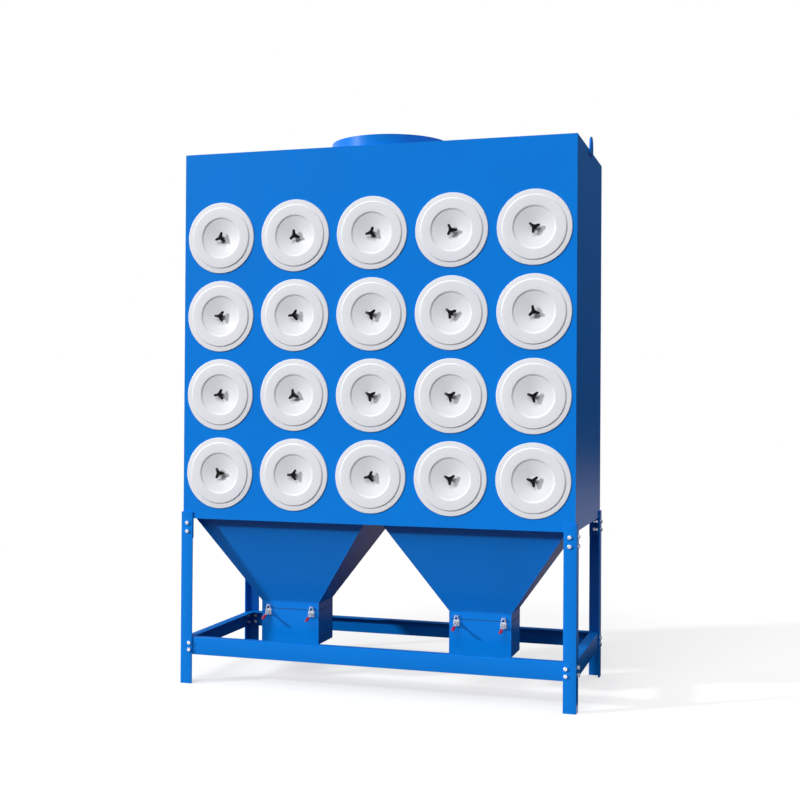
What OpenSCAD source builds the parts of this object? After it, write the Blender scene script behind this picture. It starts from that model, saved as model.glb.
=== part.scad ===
// Cartridge dust collector: a sheet-steel cabinet with twenty filter cartridges behind
// round covers, two hoppers with dust bins below, all on a bolted angle-iron stand.
// Millimetres, +Z up, the covers face -Y. The origin is on the floor, in the middle of the
// overall width and depth.

/* [Cabinet] */
// Width of the cabinet across the front
cab_w = 2100; // [2080:10:2600]
// Depth of the cabinet, front face to rear face
cab_d = 900; // [860:10:1300]
// Height of the cabinet
cab_h = 1945; // [1800:5:2600]
// Height of the cabinet's underside above the floor
under_h = 880; // [800:10:1100]
// Thickness of the cabinet's sheet steel
sheet = 3; // [2:0.5:5]
// Depth of the dusty chamber, front face to tube sheet
chamber_d = 690; // [600:10:740]

/* [Filters] */
// Columns of cartridges
cols = 5; // [2:1:5]
// Rows of cartridges
rows = 4; // [2:1:4]
// Distance of the outer columns' axes from the cabinet's sides
side_edge = 210; // [205:1:260]
// Depth of the top row's axes below the roof
top_edge = 451; // [240:1:500]
// Height of the bottom row's axes above the cabinet's underside
low_edge = 246; // [210:1:300]
// Radial clearance of a cartridge in its access opening
cart_gap = 7.5; // [4:0.5:12]
// Radial thickness of a cartridge's pleated media
media_w = 57.5; // [45:0.5:70]
// Thickness of a cartridge's end caps
cap_t = 12; // [8:1:20]
// Depth of the pleated media under the rim of the end caps
media_inset = 4; // [2:0.5:8]
// Thickness of the cartridge's seal against the tube sheet
seal_t = 12; // [6:1:20]
// Diameter of the tie rods
rod_d = 12; // [10:1:14]
// Width of the yoke bar that carries a tie rod
yoke_w = 30; // [20:1:50]
// Thickness of the yoke bar
yoke_t = 6; // [4:1:10]
// How far the yoke bar reaches over the edge of its hole
yoke_lap = 25; // [15:1:60]

/* [Covers] */
// Gap between neighbouring covers, where they stand closest
cover_gap = 40; // [20:1:60]
// Overlap of a cover on the front panel round its opening
cover_lap = 18; // [12:1:24]
// Thickness of a cover's sheet
cover_t = 2.5; // [1.5:0.5:4]
// Height of the outer flange above the front panel
flange_h = 5; // [4.5:0.5:12]
// Width of the flange from the cover's rim to its step
flange_w = 25; // [20:1:40]
// Height of the step from the flange up to the crown
step_h = 5; // [3:0.5:12]
// Width of the crown, from the step to the dish
crown_w = 55; // [40:1:60]
// Height of the sharp edge around the dish
dish_edge = 4; // [2:0.5:6]
// Depth of the dish's cone below its sharp edge
dish_deep = 15.5; // [10:0.5:20]
// Diameter of the flat hub in the dish
hub_d = 48; // [40:1:60]

/* [Star knobs] */
// Distance from the knob's middle to an arm's tip
knob_r = 32; // [26:1:40]
// Radius of an arm's round tip
tip_r = 6; // [4:0.5:7]
// Radius of the knob's hub
knob_hub_r = 11; // [9.5:0.5:14]
// Half the width of an arm where it leaves the hub
arm_root = 8.5; // [7:0.5:10]
// Thickness of the star at its middle
star_t = 15; // [10:1:20]
// Droop of the arms' tips below the star's middle
arm_droop = 7; // [3:0.5:9]
// Height of the boss behind the star
boss_h = 15; // [8:1:24]
// Diametral clearance of the tie rod in knob and covers
rod_clear = 0.3; // [0.2:0.1:1]

/* [Air collars] */
// Outer diameter of the inlet collar on the roof
inlet_d = 630; // [400:5:640]
// Height of the inlet collar
inlet_h = 57; // [30:1:150]
// Distance of the inlet collar from the cabinet's front face
inlet_edge = 15; // [10:5:40]
// Outer diameter of the outlet collar on the rear
outlet_d = 500; // [300:5:600]
// Height of the outlet collar
outlet_h = 57; // [30:1:150]
// Distance of the outlet collar from the roof
outlet_edge = 201; // [60:1:900]
// Wall thickness of both collars
collar_t = 3; // [2:0.5:6]

/* [Lifting lugs] */
// Width of a lug
lug_w = 100; // [70:2:140]
// Thickness of a lug
lug_t = 8; // [6:1:14]
// Height of a lug above the roof
lug_rise = 72; // [60:1:110]
// Overlap of a lug on the side panel
lug_lap = 22; // [15:1:60]
// Diameter of a lug's eye
eye_d = 30; // [20:1:40]

/* [Hoppers and bins] */
// Distance of a hopper's mouth from the cabinet's edges
mouth_margin = 50; // [30:1:80]
// Width of a hopper's outlet
outlet_w = 326; // [280:1:400]
// Depth of a hopper's outlet
outlet_depth = 223; // [180:1:300]
// Height of the sloping part of a hopper
slope_h = 454; // [350:1:460]
// Height of the straight neck
neck_h = 39; // [35:1:60]
// Thickness of the seal between neck and bin
gasket_t = 3; // [2:0.5:5]
// Width of the seal
gasket_w = 10; // [6:1:20]
// Height of a dust bin
bin_h = 182; // [120:1:190]

/* [Stand] */
// Width of a leg angle's flanges
leg_w = 66; // [60:1:90]
// Thickness of a leg angle
leg_t = 8; // [5:1:10]
// How far a leg laps up the cabinet's side
leg_lap = 35; // [20:1:80]
// Chamfer round a leg's upper end
leg_chamfer = 7; // [3:0.5:10]
// Width of the corner brackets' flanges
bracket_w = 58; // [50:1:60]
// Thickness of the corner brackets
bracket_t = 5; // [4:1:8]
// Length of the corner brackets below the cabinet
bracket_h = 105; // [90:1:160]
// Height of a rail's upright flange
rail_h = 90; // [60:1:120]
// Width of a rail's level flange
rail_w = 50; // [30:1:70]
// Thickness of a rail
rail_t = 5; // [4:1:8]
// Height of a rail's lower edge above the floor
rail_low = 155; // [80:1:200]
// Clearance between rails that meet at a corner
rail_gap = 0.5; // [0.2:0.1:0.9]
// Diameter of the frame bolts' holes
bolt_hole = 13; // [9:1:15]
// Distance of the upper bolts from a leg's outer corner
bolt_in = 36; // [30:1:44]
// Distance of the rail bolts from a leg's outer corner
rail_bolt_in = 52; // [30:1:54]
// Depth of the upper bolt below the cabinet's underside
bolt_drop = 23; // [18:1:40]
// Spacing of the upper bolts
bolt_gap = 45; // [30:1:50]
// Spacing of the rail bolts
rail_bolt_gap = 36; // [25:1:40]

/* [Latches] */
// Distance of a latch's middle from its bin's side
latch_edge = 39; // [30:1:80]
// Distance of the lever's pivot from the bin's wall
pivot_out = 14; // [12:0.5:20]
// Depth of the lever's pivot below the bin's upper edge
pivot_drop = 18; // [16:0.5:24]
// Distance of the bail's pivot from the lever's pivot
crank_r = 12; // [11:0.5:13]
// Angle by which the closed crank stands past its dead centre
over_centre = 8; // [4:1:12]
// Length of a bail between its pivot and its bar
bail_len = 48; // [46:0.5:50]
// Diameter of a bail's bar and pins
wire_d = 4.5; // [3.5:0.1:5]
// Distance of the hooked bar from the wall
bar_out = 9; // [8:0.5:10]
// Half the width of a bail between its legs' axes, at its foot
bail_half = 13; // [12.5:0.5:16]
// Half the width of a bail between its legs' axes, at its bar
bar_half = 7; // [6.5:0.5:9]
// Height of the parallel part of a bail's legs, before they draw in to the bar
bail_straight = 20; // [18:1:30]
// Width of a keeper's hook
hook_w = 7; // [5:0.5:8]
// Free space beside the bar in the hook
hook_space = 4.5; // [4:0.25:6]
// Thickness of the latches' sheet metal
latch_t = 2.5; // [2:0.25:3]
// Length of a lever from its pivot
lever_len = 75; // [50:1:80]
// Angle of a closed lever below the horizontal
lever_dip = 20; // [15:1:40]
// Length of a lever's grip
grip_len = 40; // [25:1:44]
// Running clearance of the latches' pins
pin_clear = 0.1; // [0.05:0.01:0.2]

/* [Hidden] */
$fn = 64;

blue = "#1479d8";
white = "#e8e9ec";
zinc = "#b9bcc0";
black = "#1b1b1d";
red = "#c4263a";
paper = "#d9d4c4";
rubber = "#26262a";

// Covers and cartridges fill the grid's pitch
col_pitch = (cab_w - 2 * side_edge) / (cols - 1);
row_pitch = (cab_h - top_edge - low_edge) / (rows - 1);
cover_d = min(col_pitch, row_pitch) - cover_gap;
opening_d = cover_d - 2 * cover_lap;
cart_d = opening_d - 2 * cart_gap;
core_d = cart_d - 2 * media_w;
crown_h = flange_h + step_h;
hub_h = crown_h - dish_edge - dish_deep;

// Overall places
knob_out = hub_h + boss_h + star_t;
front_reach = max(knob_out, crown_h, leg_t);
rear_reach = max(outlet_h, leg_t);
mid_y = (front_reach - rear_reach) / 2;
front_y = mid_y - cab_d / 2;
rear_y = mid_y + cab_d / 2;
side_x = cab_w / 2;
roof_z = under_h + cab_h;
tube_y = front_y + chamber_d;
inlet_y = front_y + inlet_edge + inlet_d / 2;
outlet_z = roof_z - outlet_edge - outlet_d / 2;

// Hoppers and bins
mouth_w = cab_w / 2 - 2 * mouth_margin;
mouth_d = chamber_d - 2 * mouth_margin;
hopper_x = cab_w / 4;
hopper_y = front_y + chamber_d / 2;
fold_z = under_h - slope_h;
neck_z = fold_z - neck_h;
bin_top = neck_z - gasket_t;
bin_face = hopper_y - outlet_depth / 2;
bin_back = hopper_y + outlet_depth / 2;
latch_x = outlet_w / 2 - latch_edge;

// Stand
bolt_z = under_h - bolt_drop;
rail_mid = rail_low + rail_h / 2;
corners = [[-1, -1], [1, -1], [-1, 1], [1, 1]];

// Latches, in a frame with u out of the bin's wall and v up from the bin's upper edge
wire_r = wire_d / 2;
rivet_r = 2.5;
cheek_t = 2;
ear_in = 3.5;
ear_out = ear_in + cheek_t;
cheek_in = ear_out + 1;
cheek_out = cheek_in + cheek_t;
tongue_w = 11;
crank_u = pivot_out - crank_r * sin(over_centre);
crank_v = -pivot_drop - crank_r * cos(over_centre);
lean = asin((bar_out - crank_u) / bail_len);
bar_v = crank_v + bail_len * cos(lean);
seat_gap = 0.5;
hook_r = hook_space + wire_r;
hook_u = latch_t + hook_r;
hook_v = bar_v - wire_r - seat_gap + hook_r;

// Each knob stops where it is tight: its turn in degrees, row by row from the top
knob_turns = [
    [80, 99, 73, 117, 20],
    [55, 65, 41, 21, 102],
    [67, 99, 29, 35, 40],
    [0, 60, 69, 34, 42]
];

function col_x(i) = (i - (cols - 1) / 2) * col_pitch;
function row_z(j) = roof_z - top_edge - j * row_pitch;

// Something drawn outwards along +Z, set on the front face at a grid place
module on_front(i, j) {
    translate([col_x(i), front_y, row_z(j)]) rotate([90, 0, 0]) children();
}

module box(x0, x1, y0, y1, z0, z1) {
    translate([x0, y0, z0]) cube([x1 - x0, y1 - y0, z1 - z0]);
}

// Cabinet

module front_panel() {
    color(blue) difference() {
        box(-side_x, side_x, front_y, front_y + sheet, under_h, roof_z - sheet);
        for (i = [0 : cols - 1], j = [0 : rows - 1])
            on_front(i, j) cylinder(d = opening_d, h = 4 * sheet, center = true);
    }
}

module side_panel(s) {
    x0 = s < 0 ? -side_x : side_x - sheet;
    color(blue)
        box(x0, x0 + sheet, front_y + sheet, rear_y - sheet, under_h, roof_z - sheet);
}

module rear_panel() {
    color(blue) difference() {
        box(-side_x, side_x, rear_y - sheet, rear_y, under_h, roof_z - sheet);
        translate([0, rear_y, outlet_z]) rotate([90, 0, 0])
            cylinder(d = outlet_d - 2 * collar_t, h = 4 * sheet, center = true, $fn = 96);
    }
}

module roof_panel() {
    color(blue) difference() {
        box(-side_x, side_x, front_y, rear_y, roof_z - sheet, roof_z);
        translate([0, inlet_y, roof_z])
            cylinder(d = inlet_d - 2 * collar_t, h = 4 * sheet, center = true, $fn = 96);
    }
}

module floor_plate() {
    color(blue) difference() {
        box(-side_x + sheet, side_x - sheet, front_y + sheet, rear_y - sheet,
            under_h, under_h + sheet);
        for (s = [-1, 1])
            translate([s * hopper_x, hopper_y, under_h])
                cube([mouth_w - 2 * sheet, mouth_d - 2 * sheet, 4 * sheet], center = true);
    }
}

module tube_sheet() {
    color(blue) difference() {
        box(-side_x + sheet, side_x - sheet, tube_y, tube_y + sheet,
            under_h + sheet, roof_z - sheet);
        for (i = [0 : cols - 1], j = [0 : rows - 1])
            translate([col_x(i), tube_y, row_z(j)]) rotate([90, 0, 0])
                cylinder(d = core_d, h = 4 * sheet, center = true);
    }
}

module collar(d, h) {
    difference() {
        cylinder(d = d, h = h, $fn = 96);
        translate([0, 0, -1]) cylinder(d = d - 2 * collar_t, h = h + 2, $fn = 96);
    }
}

module inlet_collar() {
    color(blue) translate([0, inlet_y, roof_z]) collar(inlet_d, inlet_h);
}

module outlet_collar() {
    color(blue) translate([0, rear_y, outlet_z])
        rotate([-90, 0, 0]) collar(outlet_d, outlet_h);
}

module lifting_lugs() {
    round_z = roof_z + lug_rise - lug_w / 2;
    eye_up = 10;
    color(blue) for (s = [-1, 1])
        translate([s * (side_x + lug_t / 2), mid_y, 0])
            rotate([90, 0, 90]) linear_extrude(lug_t, center = true) difference() {
                union() {
                    translate([0, round_z]) circle(d = lug_w);
                    translate([-lug_w / 2, roof_z - lug_lap])
                        square([lug_w, round_z - roof_z + lug_lap]);
                }
                translate([0, round_z + eye_up]) circle(d = eye_d);
            }
}

// Covers, knobs and cartridges

module cover() {
    r = cover_d / 2;
    t = cover_t;
    rim = 3;
    fold = 5;
    step_r = r - flange_w;
    dish_r = step_r - crown_w;
    hole_r = (rod_d + rod_clear) / 2;
    top = [
        [hole_r, hub_h], [hub_d / 2, hub_h], [dish_r - rim, crown_h - dish_edge],
        [dish_r, crown_h], [step_r - fold, crown_h], [step_r, flange_h],
        [r - rim, flange_h], [r, flange_h - rim], [r, 0]
    ];
    back = [
        [r - t, 0], [r - t, flange_h - t], [step_r - t, flange_h - t],
        [step_r - fold - t / 2, crown_h - t], [dish_r + t / 2, crown_h - t],
        [dish_r - rim + t / 2, crown_h - dish_edge - t],
        [hub_d / 2, hub_h - t], [hole_r, hub_h - t]
    ];
    rotate_extrude($fn = 96) polygon(concat(top, back));
}

module access_covers(j) {
    color(white) for (i = [0 : cols - 1]) on_front(i, j) cover();
}

// Three arms whose upper faces fall away to the tips along one flat cone
module star_knob() {
    arm = knob_r - tip_r;
    flat_r = 6;
    cone_r = flat_r + star_t * (knob_r - flat_r) / arm_droop;
    difference() {
        union() {
            cylinder(r = knob_hub_r, h = boss_h + star_t / 2, $fn = 40);
            translate([0, 0, boss_h]) intersection() {
                linear_extrude(star_t) {
                    circle(knob_hub_r, $fn = 40);
                    for (a = [0 : 120 : 240]) rotate(a) {
                        translate([arm, 0]) circle(tip_r, $fn = 24);
                        polygon([[0, -arm_root], [arm, -tip_r], [arm, tip_r], [0, arm_root]]);
                    }
                }
                cylinder(r1 = cone_r, r2 = flat_r, h = star_t);
            }
        }
        translate([0, 0, -1])
            cylinder(d = rod_d + rod_clear, h = boss_h + star_t / 2 + 1, $fn = 32);
    }
}

module star_knobs() {
    color(black) for (i = [0 : cols - 1], j = [0 : rows - 1])
        on_front(i, j) translate([0, 0, hub_h]) rotate(knob_turns[j][i]) star_knob();
}

module cartridges() {
    r = cart_d / 2;
    core = core_d / 2;
    front = hub_h - cover_t;
    back = seal_t - chamber_d;
    color(paper) for (i = [0 : cols - 1], j = [0 : rows - 1])
        on_front(i, j) rotate_extrude() polygon([
            [rod_d, front], [r, front], [r, front - cap_t], [r - media_inset, front - cap_t],
            [r - media_inset, back + cap_t], [r, back + cap_t], [r, back],
            [core + 3 * seal_t, back], [core + 3 * seal_t, -chamber_d],
            [core + seal_t, -chamber_d], [core + seal_t, back], [core, back],
            [core, front - cap_t], [rod_d, front - cap_t]
        ]);
}

module tie_rods() {
    behind = chamber_d + sheet;
    color(zinc) for (i = [0 : cols - 1], j = [0 : rows - 1]) on_front(i, j) {
        translate([0, 0, -behind - yoke_t / 2])
            cube([core_d + 2 * yoke_lap, yoke_w, yoke_t], center = true);
        translate([0, 0, -behind - yoke_t / 2])
            cylinder(d = rod_d, h = behind + yoke_t / 2 + hub_h + boss_h + star_t / 4, $fn = 32);
    }
}

// Hoppers and bins

module slope(inset) {
    rim = 0.02;
    hull() {
        translate([0, 0, slope_h - rim / 2])
            cube([mouth_w - 2 * inset, mouth_d - 2 * inset, rim], center = true);
        cube([outlet_w - 2 * inset, outlet_depth - 2 * inset, rim], center = true);
    }
}

module hopper(s) {
    color(blue) translate([s * hopper_x, hopper_y, fold_z]) {
        difference() {
            slope(0);
            translate([0, 0, 0.1]) slope(sheet);
            translate([0, 0, -0.1]) slope(sheet);
            cube([outlet_w - 2 * sheet, outlet_depth - 2 * sheet, 1], center = true);
        }
        translate([0, 0, -neck_h / 2]) difference() {
            cube([outlet_w, outlet_depth, neck_h], center = true);
            cube([outlet_w - 2 * sheet, outlet_depth - 2 * sheet, neck_h + 2], center = true);
        }
    }
}

module bin_gaskets() {
    color(rubber) for (s = [-1, 1])
        translate([s * hopper_x, hopper_y, neck_z - gasket_t / 2]) difference() {
            cube([outlet_w, outlet_depth, gasket_t], center = true);
            cube([outlet_w - 2 * gasket_w, outlet_depth - 2 * gasket_w, gasket_t + 1],
                center = true);
        }
}

module dust_bin(s) {
    color(blue) translate([s * hopper_x, hopper_y, bin_top - bin_h]) difference() {
        translate([0, 0, bin_h / 2]) cube([outlet_w, outlet_depth, bin_h], center = true);
        translate([0, 0, bin_h / 2 + sheet])
            cube([outlet_w - 2 * sheet, outlet_depth - 2 * sheet, bin_h], center = true);
    }
}

// Latches. Each module is drawn with the bin's wall at y = 0, out along -Y and the
// bin's upper edge at z = 0. side() turns an outline in (u, v) upright across the latch.

module side(w) {
    rotate([90, 0, -90]) linear_extrude(w, center = true) children();
}

module latch_base() {
    plate_w = 30;
    plate_h = 32;
    ear_r = 7;
    head_r = 4;
    head_t = 1.2;
    head_gap = 0.2;
    translate([0, -latch_t / 2, -pivot_drop]) cube([plate_w, latch_t, plate_h], center = true);
    for (s = [-1, 1]) translate([s * (ear_in + ear_out) / 2, 0, 0]) side(cheek_t) {
        translate([pivot_out, -pivot_drop]) circle(ear_r);
        translate([latch_t, -pivot_drop - ear_r]) square([pivot_out - latch_t, 2 * ear_r]);
    }
    translate([0, -pivot_out, -pivot_drop]) rotate([0, 90, 0]) {
        cylinder(r = rivet_r, h = 2 * (cheek_out + head_gap + head_t / 2), center = true,
            $fn = 32);
        for (s = [-1, 1]) translate([0, 0, s * (cheek_out + head_gap + head_t / 2)])
            cylinder(r = head_r, h = head_t, center = true, $fn = 32);
    }
}

module latch_keeper() {
    plate_w = 22;
    plate_h = 24;
    below_bar = 14;
    lip = 3.5;
    cut = 4 * hook_r;
    side(plate_w) translate([0, bar_v - below_bar]) square([latch_t, plate_h]);
    side(hook_w) difference() {
        translate([hook_u, hook_v]) circle(hook_r + latch_t);
        translate([hook_u, hook_v]) circle(hook_r);
        translate([-latch_t, bar_v + lip]) square(cut);
    }
}

module latch_lever() {
    arm = 22;
    arm_h = 10;
    pivot_r = 6.5;
    crank_end_r = 4.8;
    for (s = [-1, 1]) translate([s * (cheek_in + cheek_out) / 2, 0, 0]) side(cheek_t)
        difference() {
            union() {
                translate([pivot_out, -pivot_drop]) {
                    circle(pivot_r);
                    rotate(-lever_dip) translate([0, -arm_h / 2]) square([arm, arm_h]);
                    rotate(-90 - over_centre) translate([0, -crank_end_r])
                        square([crank_r, 2 * crank_end_r]);
                }
                translate([crank_u, crank_v]) circle(crank_end_r);
            }
            translate([pivot_out, -pivot_drop]) circle(rivet_r + pin_clear, $fn = 32);
            translate([crank_u, crank_v]) circle(wire_r + pin_clear, $fn = 32);
        }
    translate([0, -pivot_out, -pivot_drop]) rotate([lever_dip, 0, 0]) {
        translate([0, -(arm + arm_h) / 2, 0])
            cube([2 * cheek_out, arm - arm_h, latch_t], center = true);
        translate([0, -(arm + lever_len) / 2, 0])
            cube([tongue_w, lever_len - arm, latch_t], center = true);
    }
}

module latch_grip() {
    slot = pin_clear * 2;
    grip_w = 17;
    round_r = 4.5;
    tip_t = 3;
    flat_w = grip_w - 2 * round_r;
    translate([0, -pivot_out, -pivot_drop]) rotate([lever_dip, 0, 0]) difference() {
        translate([0, grip_len - lever_len - tip_t, 0]) rotate([90, 0, 0])
            linear_extrude(grip_len) {
                square([flat_w, 2 * round_r], center = true);
                for (s = [-1, 1]) translate([s * flat_w / 2, 0]) circle(round_r, $fn = 32);
            }
        translate([0, -lever_len / 2, 0])
            cube([tongue_w + slot, lever_len + slot, latch_t + slot], center = true);
    }
}

// A loop in its own plane: pins turned inwards, two legs that draw in, and the round bar
module latch_bail() {
    leg_d = wire_d - 0.5;
    bar_end = 0.5;
    foot = bail_half - wire_r;
    translate([0, -crank_u, crank_v]) rotate([lean, 0, 0]) {
        for (s = [0, 1]) mirror([s, 0, 0]) {
            translate([cheek_in, 0, 0]) rotate([0, 90, 0])
                cylinder(r = wire_r, h = bail_half - cheek_in, $fn = 32);
            rotate([90, 0, 0]) linear_extrude(leg_d, center = true) polygon([
                [foot, -wire_r - bar_end], [foot + wire_d, -wire_r - bar_end],
                [foot + wire_d, bail_straight], [bar_half + wire_r, bail_len],
                [bar_half - wire_r, bail_len], [foot, bail_straight]
            ]);
        }
        translate([0, 0, bail_len]) rotate([0, 90, 0])
            cylinder(r = wire_r, h = 2 * (bar_half + wire_r + bar_end), center = true, $fn = 32);
    }
}

// Latch places: 1 and 2 on the left bin, 3 and 4 on the right one, from left to right
function latch_place(n) = (n < 3 ? -1 : 1) * hopper_x + (n % 2 == 1 ? -1 : 1) * latch_x;

module at_latch(n) {
    translate([latch_place(n), bin_face, bin_top]) children();
}

module at_rear_latches() {
    for (n = [1 : 4])
        translate([latch_place(n), bin_back, bin_top]) rotate(180) children();
}

module latch_bases() {
    color(zinc) {
        for (n = [1 : 4]) at_latch(n) latch_base();
        at_rear_latches() latch_base();
    }
}

module latch_keepers() {
    color(zinc) {
        for (n = [1 : 4]) at_latch(n) latch_keeper();
        at_rear_latches() latch_keeper();
    }
}

// Stand

module leg(c) {
    h = under_h + leg_lap;
    translate([c.x * (side_x + leg_t), mid_y + c.y * (cab_d / 2 + leg_t), 0])
        mirror([c.x > 0 ? 1 : 0, 0, 0]) mirror([0, c.y > 0 ? 1 : 0, 0]) difference() {
            linear_extrude(h) polygon([
                [0, 0], [leg_w, 0], [leg_w, leg_t], [leg_t, leg_t], [leg_t, leg_w],
                [0, leg_w]
            ]);
            leg_cuts(h);
        }
}

// Chamfers and bolt holes of a leg whose outer corner is at the origin
module leg_cuts(h) {
    places = [
        [bolt_in, bolt_z], [bolt_in, bolt_z - bolt_gap],
        [rail_bolt_in, rail_mid + rail_bolt_gap / 2],
        [rail_bolt_in, rail_mid - rail_bolt_gap / 2]
    ];
    cut = leg_chamfer * sqrt(2);
    for (q = [0, 1]) mirror([q, -q, 0]) {
        for (p = places) translate([p.x, 0, p.y]) rotate([90, 0, 0])
            cylinder(d = bolt_hole, h = 4 * leg_t, center = true, $fn = 32);
        translate([leg_w, 0, h]) rotate([0, 45, 0])
            cube([cut, 4 * leg_t, cut], center = true);
        translate([leg_w / 2, 0, h]) rotate([45, 0, 0])
            cube([2 * leg_w, cut, cut], center = true);
    }
}

module corner_brackets() {
    color(blue) for (c = corners)
        translate([c.x * side_x, mid_y + c.y * cab_d / 2, under_h - bracket_h])
            mirror([c.x > 0 ? 1 : 0, 0, 0]) mirror([0, c.y > 0 ? 1 : 0, 0]) difference() {
                linear_extrude(bracket_h) polygon([
                    [0, 0], [bracket_w, 0], [bracket_w, bracket_t], [bracket_t, bracket_t],
                    [bracket_t, bracket_w], [0, bracket_w]
                ]);
                for (q = [0, 1], k = [0, 1]) mirror([q, -q, 0])
                    translate([bolt_in - leg_t, 0, bracket_h - bolt_drop - k * bolt_gap])
                        rotate([90, 0, 0])
                            cylinder(d = bolt_hole, h = 4 * bracket_t, center = true, $fn = 32);
            }
}

// A rail along X whose upright flange has its outer face at y = 0. Its ends lie end_in short
// of the stand's corner.
module rail(length, end_in) {
    hole_x = length / 2 + end_in - (rail_bolt_in - leg_t);
    difference() {
        rotate([90, 0, 90]) linear_extrude(length, center = true) polygon([
            [0, 0], [rail_w, 0], [rail_w, rail_t], [rail_t, rail_t], [rail_t, rail_h],
            [0, rail_h]
        ]);
        for (s = [-1, 1], k = [-1, 1])
            translate([s * hole_x, 0, rail_h / 2 + k * rail_bolt_gap / 2]) rotate([90, 0, 0])
                cylinder(d = bolt_hole, h = 4 * rail_t, center = true, $fn = 32);
    }
}

module front_rail() {
    color(blue) translate([0, front_y, rail_low]) rail(cab_w, 0);
}

module rear_rail() {
    color(blue) translate([0, rear_y, rail_low]) rotate(180) rail(cab_w, 0);
}

// The side rails' upright flanges reach the corners, and are coped over the level flanges of
// the front and rear rails
module side_rail(s) {
    end_in = rail_t + rail_gap;
    cope = rail_w + rail_gap;
    color(blue) translate([s * side_x, mid_y, rail_low]) rotate(s < 0 ? -90 : 90) difference() {
        rail(cab_d - 2 * end_in, end_in);
        for (e = [-1, 1]) translate([e * cab_d / 2, rail_w / 2, 0])
            cube([2 * cope, 2 * rail_w, 2 * (rail_t + rail_gap)], center = true);
    }
}

front_panel();
side_panel(-1);  // left_panel
side_panel(1);  // right_panel
rear_panel();
roof_panel();
floor_plate();
tube_sheet();
inlet_collar();
outlet_collar();
lifting_lugs();
access_covers(0);  // access_covers_row_1
access_covers(1);  // access_covers_row_2
access_covers(2);  // access_covers_row_3
access_covers(3);  // access_covers_row_4
star_knobs();
tie_rods();
cartridges();
hopper(-1);  // hopper_left
hopper(1);  // hopper_right
bin_gaskets();
dust_bin(-1);  // dust_bin_left
dust_bin(1);  // dust_bin_right
latch_bases();
latch_keepers();
color(zinc) at_latch(1) latch_lever();  // latch_lever_1
color(zinc) at_latch(2) latch_lever();  // latch_lever_2
color(zinc) at_latch(3) latch_lever();  // latch_lever_3
color(zinc) at_latch(4) latch_lever();  // latch_lever_4
color(red) at_latch(1) latch_grip();  // latch_grip_1
color(red) at_latch(2) latch_grip();  // latch_grip_2
color(red) at_latch(3) latch_grip();  // latch_grip_3
color(red) at_latch(4) latch_grip();  // latch_grip_4
color(zinc) at_latch(1) latch_bail();  // latch_bail_1
color(zinc) at_latch(2) latch_bail();  // latch_bail_2
color(zinc) at_latch(3) latch_bail();  // latch_bail_3
color(zinc) at_latch(4) latch_bail();  // latch_bail_4
color(zinc) at_rear_latches() latch_lever();  // rear_latch_levers
color(red) at_rear_latches() latch_grip();  // rear_latch_grips
color(zinc) at_rear_latches() latch_bail();  // rear_latch_bails
color(blue) leg(corners[0]);  // leg_front_left
color(blue) leg(corners[1]);  // leg_front_right
color(blue) leg(corners[2]);  // leg_rear_left
color(blue) leg(corners[3]);  // leg_rear_right
corner_brackets();
front_rail();
rear_rail();
side_rail(-1);  // left_rail
side_rail(1);  // right_rail
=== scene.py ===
"""Looks of the cartridge dust collector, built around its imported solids. Metres, +Z up, covers face -Y."""
import math

import bmesh
import bpy
import numpy as np
from mathutils import Matrix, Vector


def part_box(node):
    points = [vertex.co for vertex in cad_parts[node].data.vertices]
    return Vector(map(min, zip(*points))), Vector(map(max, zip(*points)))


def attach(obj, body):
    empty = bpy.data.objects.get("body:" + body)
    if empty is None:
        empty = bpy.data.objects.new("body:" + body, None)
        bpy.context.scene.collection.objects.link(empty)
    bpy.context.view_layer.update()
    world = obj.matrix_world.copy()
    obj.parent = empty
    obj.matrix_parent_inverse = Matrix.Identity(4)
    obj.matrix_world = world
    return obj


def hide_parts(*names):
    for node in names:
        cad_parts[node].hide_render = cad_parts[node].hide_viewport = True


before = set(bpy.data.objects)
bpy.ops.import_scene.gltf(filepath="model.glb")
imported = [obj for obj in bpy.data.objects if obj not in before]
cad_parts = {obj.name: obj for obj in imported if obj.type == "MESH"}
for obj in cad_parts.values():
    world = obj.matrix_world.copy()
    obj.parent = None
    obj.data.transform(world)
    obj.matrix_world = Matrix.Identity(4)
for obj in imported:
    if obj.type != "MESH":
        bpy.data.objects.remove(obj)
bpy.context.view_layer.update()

MM = 0.001

# Sizes of the real machine
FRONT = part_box("front_panel")
ROOF_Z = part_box("roof_panel")[1].z
UNDER_Z = FRONT[0].z
SIDE_X = FRONT[1].x
FRONT_Y = FRONT[0].y
REAR_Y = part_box("rear_panel")[1].y
MID_Y = (FRONT_Y + REAR_Y) / 2
COLUMNS, ROWS = 5, 4
PITCH_X, PITCH_Z, GRID_MID = 420 * MM, 416 * MM, 870 * MM
# how far each knob was turned when it came tight, row by row from the top
KNOB_TURNS = (
    (80, 99, 73, 117, 20),
    (55, 65, 41, 21, 102),
    (67, 99, 29, 35, 40),
    (0, 60, 69, 34, 42),
)
LEG_T, LAP_T = 8 * MM, 5 * MM
UPPER_BOLT_IN, LOWER_BOLT_IN = 36 * MM, 52 * MM
UPPER_BOLTS = (UNDER_Z - 23 * MM, UNDER_Z - 68 * MM)
LOWER_BOLTS = (218 * MM, 182 * MM)
HUB_UP = -9.5 * MM
CHAMBER = 690 * MM
LATCHES = {n: ((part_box(f"latch_bail_{n}")[0].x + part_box(f"latch_bail_{n}")[1].x) / 2)
           for n in range(1, 5)}
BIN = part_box("dust_bin_left")
BIN_TOP, BIN_FACE, BIN_BACK = BIN[1].z, BIN[0].y, BIN[1].y
PIVOT_OUT, PIVOT_DROP, CRANK = 14 * MM, 18 * MM, 12 * MM
PAST_CENTRE = math.radians(8)
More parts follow.
